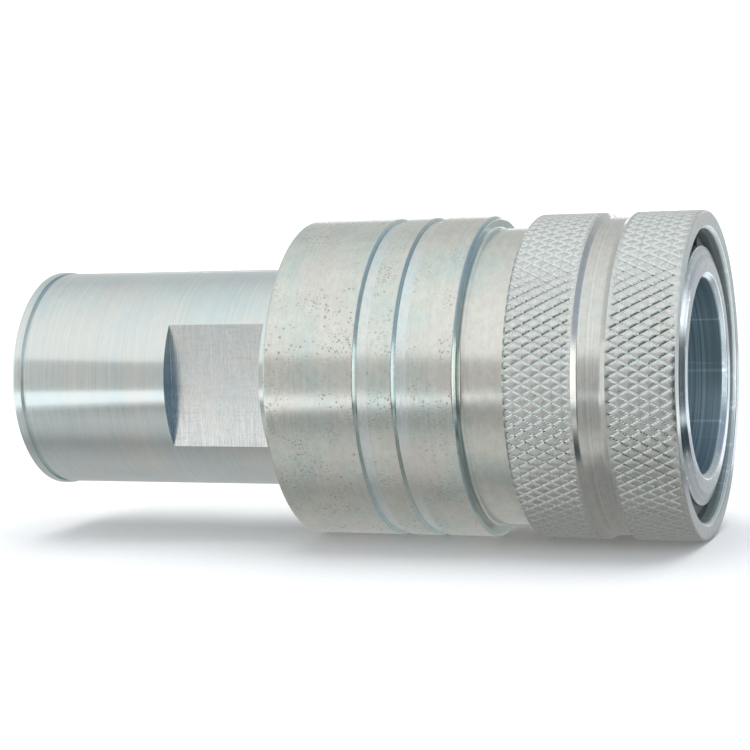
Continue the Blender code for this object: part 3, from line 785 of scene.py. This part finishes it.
def ball_holes():
    """One cutter with every ball hole in it: a cone that narrows to a throat at the bore."""
    centre_x = (BALL_START + BALL_END) / 2.0
    shape = bmesh.new()
    profile = [(INNER_BORE_R, 0.0), (INNER_BORE_R, BALL_HOLE_THROAT_R), (BALL_CONE[0], BALL_HOLE_THROAT_R),
               (BALL_CONE[1], BALL_HOLE_R), (BODY_R, BALL_HOLE_R), (BODY_R, 0.0)]
    for index in range(BALL_COUNT):
        drill = turned("drill", profile, looks["plain"], sides=HOLE_SIDES, closed=False)
        lift = Matrix.Rotation(math.radians(-90.0), 4, "Y")
        turn = Matrix.Rotation(-math.tau * (index + 0.5) / BALL_COUNT, 4, "X")
        drill.data.transform(Matrix.Translation((centre_x * MM, 0.0, 0.0)) @ turn @ lift)
        shape.from_mesh(drill.data)
        bpy.data.objects.remove(drill)
    mesh = bpy.data.meshes.new("ball_holes")
    shape.to_mesh(mesh)
    shape.free()
    return new_piece("ball_holes", mesh, looks["plain"])


def socket_body(look, painted_wall_shade, floor):
    """Collar, neck and nose, with the mouth, the seal groove, the valve seat and the ball holes."""
    stop_start = STOP_RING_START - STOP_GROOVE_GAP
    stop_end = STOP_RING_END + STOP_GROOVE_GAP
    outer = [(BODY_START, TUBE_BORE_R), (BODY_START, BODY_R, 0.4)]
    for start in COLLAR_GROOVES:
        outer += collar_groove(start)
    outer += [
        (COLLAR_END - COLLAR_CHAMFER[0], BODY_R, 0.1), (COLLAR_END, BODY_R - COLLAR_CHAMFER[1], 0.06),
        (COLLAR_END, NECK_R, 0.35), (NECK_END, NECK_R, 0.15),
        (NECK_END, NOSE_R, 0.15), (stop_start, NOSE_R), (stop_start, STOP_GROOVE_R),
        (stop_end, STOP_GROOVE_R), (stop_end, NOSE_R), (NOSE_BEVEL[0], NOSE_R, 0.15),
        (BODY_END, NOSE_BEVEL[1], 0.12),
    ]
    inner = [
        (BODY_END, MOUTH_R, 0.1), (BODY_END - MOUTH_DEPTH, BORE_R, 0.12), (BORE_STEP, BORE_R, 0.1),
        (BORE_STEP - BORE_R + INNER_BORE_R, INNER_BORE_R, 0.1),
        (SEAL_GROOVE[1], INNER_BORE_R, 0.1), (SEAL_GROOVE[1], SEAL_GROOVE[2], 0.1),
        (SEAL_GROOVE[0], SEAL_GROOVE[2], 0.1), (SEAL_GROOVE[0], INNER_BORE_R, 0.1),
        (SEAT[1] + INNER_BORE_R - SEAT[2], INNER_BORE_R, 0.3), (SEAT[1], SEAT[2], 0.12),
        (SEAT[0], SEAT[2], 0.12), (CAVITY[1], CAVITY[2], 0.4), (CAVITY[0], CAVITY[2], 0.1),
        (CAVITY[0], GUIDE_BORE[1]), (GUIDE_BORE[0], GUIDE_BORE[1], 0.1), (GUIDE_BORE[0], THREAD_BORE[1]),
        (THREAD_BORE[0], THREAD_BORE[1]), (THREAD_BORE[0], TUBE_BORE_R),
    ]
    piece = turned("socket_body", eased(outer + inner), look)
    cut(piece, ball_holes())

    def faces_mouth(centre, radius, normal):
        return COLLAR_GROOVES[0] < centre.x < COLLAR_END + 0.4 and radius > NECK_R + 0.1 and normal.x > 0.6

    def groove_floor(centre, radius, normal):
        floor_r = BODY_R - COLLAR_GROOVE_DEPTH
        return COLLAR_GROOVES[0] < centre.x < COLLAR_END and abs(radius - floor_r) < 0.1 and normal.x < 0.4

    # Walls facing the mouth get a teal colour painted on for their shade.
    finish_or_shade_faces(piece, painted_wall_shade, faces_mouth)
    # Groove floors get a paler, bluer colour painted on for the light they show.
    finish_or_shade_faces(piece, floor, groove_floor)
    attach(piece, "coupler_body", "plated_body", "socket_body")


def knurl_band(start, end, shift):
    """Rings of one grip band: narrow grooves of both hands cut into the sleeve's outside, shift rows on."""
    columns = np.arange(KNURL_STARTS * KNURL_STEPS)
    rows = round((end - start) / KNURL_ROW)
    rings = []
    for row in range(rows + 1):
        x = start + row * (end - start) / rows
        cuts = []
        for hand in (1, -1):
            phase = (columns + hand * (row + shift)) % KNURL_STEPS
            from_middle = np.minimum(phase, KNURL_STEPS - phase)
            cuts.append(np.interp(from_middle, *KNURL_CUT))
        depth = KNURL_DEPTH * min(1.0, (x - start) / KNURL_FADE, (end - x) / KNURL_FADE)
        rings.append((x, SLEEVE_R - depth * np.maximum(*cuts)))
    return rings


def limited(rings, profile):
    """Turn rings down to a profile, as chamfers are turned across a knurl."""
    return [(x, np.minimum(radius, profile(x))) for x, radius in rings]


def locking_sleeve(look, knurled, rim):
    """Sleeve with two knurled bands, the groove between them, and the land and relief inside."""
    def outside(x):
        rise = min(x - SLEEVE_START + SLEEVE_R - SLEEVE_REAR_CHAMFER, SLEEVE_R)
        fall = SLEEVE_END - x + SLEEVE_R - SLEEVE_CHAMFER
        return min(rise, fall)

    rear_end = SLEEVE_GROOVE_START
    front_start = SLEEVE_GROOVE_END
    slope = SLEEVE_R - SLEEVE_GROOVE_R
    groove = eased([(rear_end + 0.2, SLEEVE_R - 0.2), (rear_end + slope, SLEEVE_GROOVE_R, 0.1),
                    (front_start - 0.7, SLEEVE_GROOVE_R, 0.15), (front_start, SLEEVE_R - 0.1)])
    inside = eased([
        (SLEEVE_END, SLEEVE_R - SLEEVE_CHAMFER, 0.06), (SLEEVE_END, SLEEVE_MOUTH_R, 0.08),
        (SLEEVE_END - SLEEVE_MOUTH_R + COUNTERBORE[1], COUNTERBORE[1], 0.1), (COUNTERBORE[0], COUNTERBORE[1]),
        (COUNTERBORE[0], RELIEF_R), (LAND[1] + RELIEF_R - LAND[2], RELIEF_R), (LAND[1], LAND[2], 0.12),
        (LAND[0], LAND[2]), (LAND[0], SLEEVE_BORE_R), (SLEEVE_START, SLEEVE_BORE_R, 0.15),
        (SLEEVE_START, SLEEVE_R - SLEEVE_REAR_CHAMFER, 0.03),
    ])
    rear = limited(knurl_band(SLEEVE_START + 0.05, rear_end, 0), outside)
    front = limited(knurl_band(front_start, SLEEVE_END - 0.1, FRONT_BAND_SHIFT), outside)
    columns = KNURL_STARTS * KNURL_STEPS
    piece = turned("locking_sleeve", rear + groove + front + inside, look, sides=columns)

    def in_band(centre, radius, normal):
        banded = SLEEVE_START < centre.x < rear_end or front_start < centre.x < SLEEVE_END - SLEEVE_CHAMFER
        return banded and radius > SLEEVE_R - KNURL_DEPTH - 0.02

    def on_rim(centre, radius, normal):
        outermost = radius > SLEEVE_MOUTH_R - 0.1 and normal.x > 0.4
        return outermost and centre.x > SLEEVE_END - SLEEVE_CHAMFER - 0.1

    finish_or_shade_faces(piece, knurled, in_band)
    # The front faces get a bluer colour painted on for their reflection.
    finish_or_shade_faces(piece, rim, on_rim)
    attach(piece, "sleeve", "knurled_sleeve", "locking_sleeve")


def stop_ring(look):
    """Snap ring in the nose, open at the top with rounded ends."""
    angles = np.linspace(STOP_RING_GAP, math.tau - STOP_RING_GAP, STOP_RING_STEPS)
    section = eased([(STOP_RING_START, STOP_RING_INNER_R, 0.12), (STOP_RING_START, STOP_RING_R, 0.12),
                     (STOP_RING_END, STOP_RING_R, 0.12), (STOP_RING_END, STOP_RING_INNER_R, 0.12)])
    middle = np.mean(section, axis=0)
    taper = np.ones(STOP_RING_STEPS)
    taper[[0, -1]] = STOP_RING_TIP
    points = []
    for angle, size in zip(angles, taper):
        for x, radius in section:
            near_x = middle[0] + (x - middle[0]) * size
            near_r = middle[1] + (radius - middle[1]) * size
            points.append((near_x, near_r * math.sin(angle), near_r * math.cos(angle)))
    piece = swept("sleeve_stop_ring", points, STOP_RING_STEPS, len(section), look)
    attach(piece, "coupler_body", "spring_steel", "sleeve_stop_ring")


def spring_follower(look):
    section = eased([(FOLLOWER_START, LAND[2], 0.1), (FOLLOWER_START, FOLLOWER_R, 0.1),
                     (FOLLOWER_END, FOLLOWER_R, 0.1), (FOLLOWER_END, LAND[2], 0.1)])
    piece = turned("spring_follower", section, look, sides=SMALL_SIDES)
    attach(piece, "follower", "valve_steel", "spring_follower")


def springs(look):
    """The two coils, each with a mesh of its own."""
    piece = coil("sleeve_spring", SLEEVE_SPRING_START, SLEEVE_SPRING_END, *SLEEVE_SPRING, look)
    attach(piece, "coupler_body", "spring_steel", "sleeve_spring")
    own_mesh(piece)
    piece = coil("valve_spring", VALVE_SPRING_START, VALVE_SPRING_END, *VALVE_SPRING, look)
    attach(piece, "coupler_body", "spring_steel", "valve_spring")
    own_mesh(piece)


def valve_guide(look):
    """Hub that guides the stem, on a cone with flow holes."""
    section = eased([
        (GUIDE_START, GUIDE_HOLE_R, 0.2), (GUIDE_START, GUIDE_HUB_R, 0.3), (GUIDE_CONE[0], GUIDE_HUB_R, 0.4),
        (GUIDE_CONE[1], GUIDE_NECK[1], 0.3), GUIDE_NECK, (GUIDE_NECK[0], GUIDE_R, 0.12),
        (GUIDE_END, GUIDE_R, 0.12), (GUIDE_END, GUIDE_HOLLOW_R[1], 0.2),
        (GUIDE_HOLLOW[1], GUIDE_HOLLOW_R[1], 0.2), (GUIDE_HOLLOW[0], GUIDE_HOLLOW_R[0], 0.3),
        (GUIDE_HOLLOW[0], GUIDE_HOLE_R, 0.2),
    ])
    piece = turned("valve_guide", section, look, sides=SMALL_SIDES)
    first, last = FLOW_HOLE_SPAN
    hole = [(first, 0.0), (first, FLOW_HOLE_R), (last, FLOW_HOLE_R), (last, 0.0)]
    for index in range(FLOW_HOLES):
        angle = FLOW_TURN + math.tau * index / FLOW_HOLES
        drill = turned("drill", hole, looks["plain"], sides=DRILL_SIDES, closed=False)
        place = Vector((0.0, math.sin(angle), math.cos(angle))) * FLOW_CIRCLE_R * MM
        drill.data.transform(Matrix.Translation(place))
        cut(piece, drill)
    attach(piece, "coupler_body", "valve_steel", "valve_guide")


def poppet(steel, rubber):
    """Valve: stem and head, the seal on its front, and the nose that a plug pushes."""
    stem = eased([
        (POPPET_START, 0.0), (POPPET_START, STEM_R, 0.4), (HEAD_SPAN[0], STEM_R, 0.4),
        (HEAD_SPAN[0], HEAD_R, 0.25), (HEAD_SPAN[1], HEAD_R, 0.25), (HEAD_SPAN[1], HUB_R, 0.2),
        (POPPET_END, HUB_R, 0.3), (POPPET_END, 0.0),
    ])
    seal = eased([
        (VALVE_SEAL_START, VALVE_SEAL_BORE_R), (VALVE_SEAL_START, VALVE_SEAL_R, 0.2),
        (VALVE_SEAL_EDGE, VALVE_SEAL_R, 0.3), (VALVE_SEAL_END, VALVE_SEAL_FACE_R, 0.2),
        (VALVE_SEAL_END, VALVE_SEAL_BORE_R),
    ])
    mark_x = VALVE_NOSE_END - CENTRE_MARK[0]
    nose = eased([
        (VALVE_NOSE_START, VALVE_NOSE_BORE_R), (VALVE_NOSE_START, VALVE_NOSE_R, 0.15),
        (VALVE_NOSE_FLANGE, VALVE_NOSE_R, 0.25), (VALVE_NOSE_FLANGE, VALVE_NOSE_TIP_R, 0.4),
        (VALVE_NOSE_END, VALVE_NOSE_TIP_R, 1.4), (VALVE_NOSE_END, CENTRE_MARK[1], 0.1), (mark_x, 0.05),
        (mark_x, 0.0), (VALVE_NOSE_BORE_END, 0.0), (VALVE_NOSE_BORE_END, VALVE_NOSE_BORE_R, 0.2),
    ])
    for name, section, look, slot in (("valve_poppet", stem, steel, "valve_steel"),
                                      ("poppet_seal", seal, rubber, "seal_rubber"),
                                      ("poppet_nose", nose, steel, "valve_steel")):
        piece = turned(name, section, look, sides=SMALL_SIDES)
        attach(piece, "poppet", slot, name)


def square(start, end, inner_r, outer_r):
    """Section of a square ring with eased edges."""
    return eased([(start, inner_r, 0.08), (start, outer_r, 0.08), (end, outer_r, 0.08), (end, inner_r, 0.08)])


def seals(rubber, ptfe):
    """O-rings in the body and on the spigot, and the backup ring beside each."""
    probe_mid = (PROBE_SEAL_START + PROBE_SEAL_END) / 2.0
    adapter_mid = (ADAPTER_RING_START + ADAPTER_RING_END) / 2.0
    probe_backup = square(PROBE_BACKUP_START, PROBE_BACKUP_END, INNER_BORE_R, PROBE_BACKUP_R)
    adapter_backup = square(ADAPTER_BACKUP_START, ADAPTER_BACKUP_END, BACKUP_INNER_R, ADAPTER_BACKUP_R)
    for name, section, look, slot in (
            ("probe_seal", torus_section(probe_mid, *PROBE_RING), rubber, "seal_rubber"),
            ("adapter_o_ring", torus_section(adapter_mid, *ADAPTER_RING), rubber, "seal_rubber"),
            ("probe_backup_ring", probe_backup, ptfe, "backup_ptfe"),
            ("adapter_backup_ring", adapter_backup, ptfe, "backup_ptfe")):
        piece = turned(name, section, look, sides=SMALL_SIDES)
        attach(piece, "coupler_body", slot, name)


def balls(look):
    """Lapped steel balls, one for each of the CAD's."""
    half = [(math.cos(a), math.sin(a)) for a in np.linspace(math.pi, 0.0, BALL_SIDES // 2 + 1)]
    radius = (BALL_END - BALL_START) / 2.0
    section = [(radius * along, max(radius * out, 0.0)) for along, out in half]
    for index in range(BALL_COUNT):
        name = f"locking_ball_{index + 1}"
        low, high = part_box(name)
        piece = turned(name, section, look, sides=BALL_SIDES, closed=False)
        piece.data.transform(Matrix.Translation((low + high) / 2.0))
        attach(piece, f"ball_{index + 1}", "ball_steel", name)


# ---------------------------------------------------------------- scene

def add_floor():
    """White table that curves up into a round backdrop."""
    outline = [(0.0, FLOOR_Z), (FLOOR_R * 0.2, FLOOR_Z), (FLOOR_R, FLOOR_Z)]
    for i in range(1, FLOOR_BEND_STEPS + 1):
        angle = math.pi / 2 * i / FLOOR_BEND_STEPS
        outline.append((FLOOR_R + FLOOR_BEND_R * math.sin(angle),
                        FLOOR_Z + FLOOR_BEND_R * (1.0 - math.cos(angle))))
    outline.append((FLOOR_R + FLOOR_BEND_R, WALL_TOP))
    points = [(MIDDLE_X + r * math.cos(a), r * math.sin(a), z) for r, z in outline
              for a in even_angles(FLOOR_SIDES)]
    mesh = new_mesh("floor", points, sweep_faces(len(outline), FLOOR_SIDES))
    mesh.shade_smooth()
    new_piece("floor", mesh, floor_look())


def glow_look(name, colour, strength, tones=None):
    """Even glow, or with tones, (y, strength) pairs, a glow that changes across the coupler's axis."""
    made, tree, shader = new_material(name)
    shader.inputs["Base Color"].default_value = (0.0, 0.0, 0.0, 1.0)
    shader.inputs["Specular IOR Level"].default_value = 0.0
    shader.inputs["Emission Color"].default_value = (*colour, 1.0)
    shader.inputs["Emission Strength"].default_value = strength
    if tones:
        across = add(tree, "ShaderNodeSeparateXYZ", {"Vector": object_place(tree)}).outputs["Y"]
        first, last = tones[0][0], tones[-1][0]
        blend = add(tree, "ShaderNodeValToRGB", {"Fac": ramp(tree, across, first * MM, last * MM)})
        stops = blend.color_ramp.elements
        for index, (y, tone) in enumerate(tones):
            part = (y - first) / (last - first)
            stop = stops[index] if index < 2 else stops.new(part)
            stop.position = part
            stop.color = (tone, tone, tone, 1.0)
        tree.links.new(blend.outputs["Color"], shader.inputs["Emission Strength"])
    return made


def in_reflections(name, points, faces, look):
    """Add a panel that only the coupler's reflections show."""
    panel = new_piece(name, new_mesh(name, points, faces), look)
    panel.visible_camera = False
    panel.visible_diffuse = False
    panel.visible_shadow = False
    panel.visible_transmission = False


def screen(name, look, radius, bottom, top, first, last):
    """Upright curved panel round the coupler's middle; first and last are its angles in degrees."""
    angles = np.radians(np.linspace(first, last, SCREEN_STEPS + 1))
    points = [(MIDDLE_X + radius * math.cos(a), radius * math.sin(a), z)
              for z in (bottom, top) for a in angles]
    faces = [(i, i + 1, SCREEN_STEPS + 2 + i, SCREEN_STEPS + 1 + i) for i in range(SCREEN_STEPS)]
    in_reflections(name, points, faces, look)


def add_screens():
    """Panels round the coupler that give the plated steel its light and dark bands."""
    glows = {name: glow_look(name, *glow) for name, glow in GLOWS.items()}
    for name, glow, *place in SCREENS:
        screen(name, glows[glow], *place)


def add_mats():
    """Flat panels under the coupler, each MAT_STEP over the last, that shade its lower reflections."""
    blurred = [(x + MAT_BLUR[0], y + MAT_BLUR[1]) for x, y in MAT_EDGE]
    mats = (
        ("shade_edge", blurred, glow_look("shade_edge", WHITE, MAT_BLUR_GLOW)),
        ("shaded_floor", MAT_EDGE, glow_look("shaded_floor", WHITE, 0.0, MAT_TONES)),
        ("sleeve_shade", SLEEVE_SHADE, glow_look("sleeve_shade", WHITE, SLEEVE_SHADE_GLOW)),
        ("dark_corner", DARK_CORNER, glow_look("dark_mat", *GLOWS["dark_screen"])),
    )
    for index, (name, edge, look) in enumerate(mats):
        height = FLOOR_Z + MAT_STEP * (index + 1)
        in_reflections(name, [(x, y, height) for x, y in edge], [tuple(range(len(edge)))], look)


def facing(tree, way, direction):
    """How far a way into the sky faces a direction: 1 along it, 0 across it."""
    return add(tree, "ShaderNodeVectorMath", {0: way, 1: direction}, operation="DOT_PRODUCT").outputs["Value"]


def add_world():
    """Soft sky: brightest above the front, less bright behind, and a little bluer and dimmer on the right."""
    world = bpy.data.worlds.new("studio")
    bpy.context.scene.world = world
    world.use_nodes = True
    tree = world.node_tree
    way = add(tree, "ShaderNodeTexCoord").outputs["Generated"]
    bright = ramp(tree, facing(tree, way, SKY_FRONT), 0.0, 1.0, *SKY_LEVELS)
    right = ramp(tree, facing(tree, way, SKY_RIGHT), 0.35, 0.8)
    level = math_node(tree, "MULTIPLY", bright, ramp(tree, right, 0.0, 1.0, 1.0, SKY_DIM))
    sky = tree.nodes["Background"]
    tree.links.new(mix(tree, right, SKY_COLOUR, SKY_RIGHT_COLOUR), sky.inputs["Color"])
    tree.links.new(level, sky.inputs["Strength"])


def add_sun():
    """Wide soft sun from high up, which lights the floor and stays out of the reflections."""
    data = bpy.data.lights.new("high_sun", "SUN")
    data.energy = SUN_STRENGTH
    data.angle = SUN_SPREAD
    light = bpy.data.objects.new("high_sun", data)
    bpy.context.scene.collection.objects.link(light)
    light.rotation_euler = (-SUN_LEAN, 0.0, 0.0)
    light.visible_glossy = False


def add_camera():
    """Camera on the fitted line of sight: level in its own frame, which leans by the lift."""
    data = bpy.data.cameras.new("camera")
    data.lens = CAMERA_LENS
    data.sensor_width = CAMERA_SENSOR
    data.shift_y = CAMERA_SHIFT_Y
    data.clip_start = 0.01
    camera = bpy.data.objects.new("camera", data)
    bpy.context.scene.collection.objects.link(camera)
    lean = Matrix.Rotation(-CAMERA_LIFT, 4, "X")
    place = Matrix.Translation((CAMERA_X * MM, -CAMERA_DISTANCE * MM, 0.0))
    turn = Matrix.Rotation(CAMERA_YAW, 4, "Z") @ Matrix.Rotation(math.pi / 2, 4, "X")
    camera.matrix_world = lean @ place @ turn @ Matrix.Rotation(CAMERA_ROLL, 4, "Z")
    bpy.context.scene.camera = camera


# Painted shade: a darker, bluer colour laid on the bores and threads inside, standing in for the shade there.
bore_painted_shade = (0.52, 0.68, 0.76)
# Painted reflection: a bluer copy of the body's zinc laid on the nose and its bevels for the light-blue sheen
# they show.
nose_painted_reflection = (0.74, 0.83, 0.88)
# Painted light: a paler, bluer copy of the sleeve's zinc laid on its inner faces, which would otherwise show
# dark.
mouth_painted_light = (0.8, 0.9, 0.9)
looks = {
    "plain": bpy.data.materials.new("plain"),
    "tube": turned_metal("zinc_tube", (0.78, 0.86, 0.85), (0.72, 0.81, 0.81), (0.82, 0.84, 0.8), 0.19,
                         mottling=0.3, zones=((12.0, bore_painted_shade, 0.4),)),
    "body": turned_metal("zinc_body", (0.83, 0.84, 0.76), (0.7, 0.78, 0.75), (0.82, 0.8, 0.74), 0.24,
                         pits=0.6, cloud_size=5.0,
                         zones=((15.2, nose_painted_reflection, 0.22), (11.3, bore_painted_shade, 0.42))),
    # Painted shade: a dark blue copy of the zinc for the flats' end walls, in place of the dark reflection
    # they show.
    "lens": turned_metal("zinc_lens_painted_shade", (0.34, 0.5, 0.64), (0.22, 0.36, 0.5), (0.5, 0.62, 0.7), 0.2,
                         streaks=3.0),
    # Painted shade: a teal copy of the zinc for the collar walls that face the mouth.
    "painted_wall_shade": turned_metal("zinc_painted_wall_shade", (0.7, 0.85, 0.86), (0.6, 0.76, 0.8), (0.66, 0.76, 0.7), 0.2,
                           streaks=3.0),
    # Painted sheen: a paler, bluer copy of the zinc for the collar grooves' floors.
    "groove": turned_metal("zinc_groove_painted_sheen", (0.83, 0.89, 0.88), (0.76, 0.86, 0.86), (0.85, 0.84, 0.79), 0.26),
    # Painted reflection: a bluer copy of the sleeve's zinc for its front faces.
    "rim": turned_metal("zinc_rim_painted_reflection", (0.77, 0.85, 0.88), (0.72, 0.81, 0.84), (0.8, 0.82, 0.84), 0.22),
    "sleeve": turned_metal("zinc_sleeve", (0.79, 0.79, 0.74), (0.72, 0.74, 0.71), (0.80, 0.77, 0.72), 0.22,
                           streaks=1.0, anisotropy=0.4, zones=((17.6, mouth_painted_light, 0.45),)),
    "knurled": knurled_look(),
    "milled": milled_look(),
    "spring": turned_metal("spring_steel", (0.13, 0.16, 0.16), (0.09, 0.11, 0.11), (0.16, 0.15, 0.13), 0.35),
    "valve": turned_metal("valve_steel", (0.6, 0.62, 0.63), (0.5, 0.52, 0.54), (0.6, 0.6, 0.56), 0.25),
    "ball": turned_metal("ball_steel", (0.74, 0.74, 0.76), (0.68, 0.68, 0.7), (0.74, 0.72, 0.7), 0.1,
                         marks=0.0004, anisotropy=0.0),
    "rubber": rubber_look(),
    "ptfe": ptfe_look(),
}

port_adapter(looks["tube"], looks["milled"], looks["lens"])
socket_body(looks["body"], looks["painted_wall_shade"], looks["groove"])
locking_sleeve(looks["sleeve"], looks["knurled"], looks["rim"])
stop_ring(looks["spring"])
spring_follower(looks["valve"])
springs(looks["spring"])
valve_guide(looks["valve"])
poppet(looks["valve"], looks["rubber"])
seals(looks["rubber"], looks["ptfe"])
balls(looks["ball"])

add_floor()
add_world()
add_screens()
add_mats()
add_sun()
add_camera()
bpy.context.scene.view_settings.view_transform = "Standard"
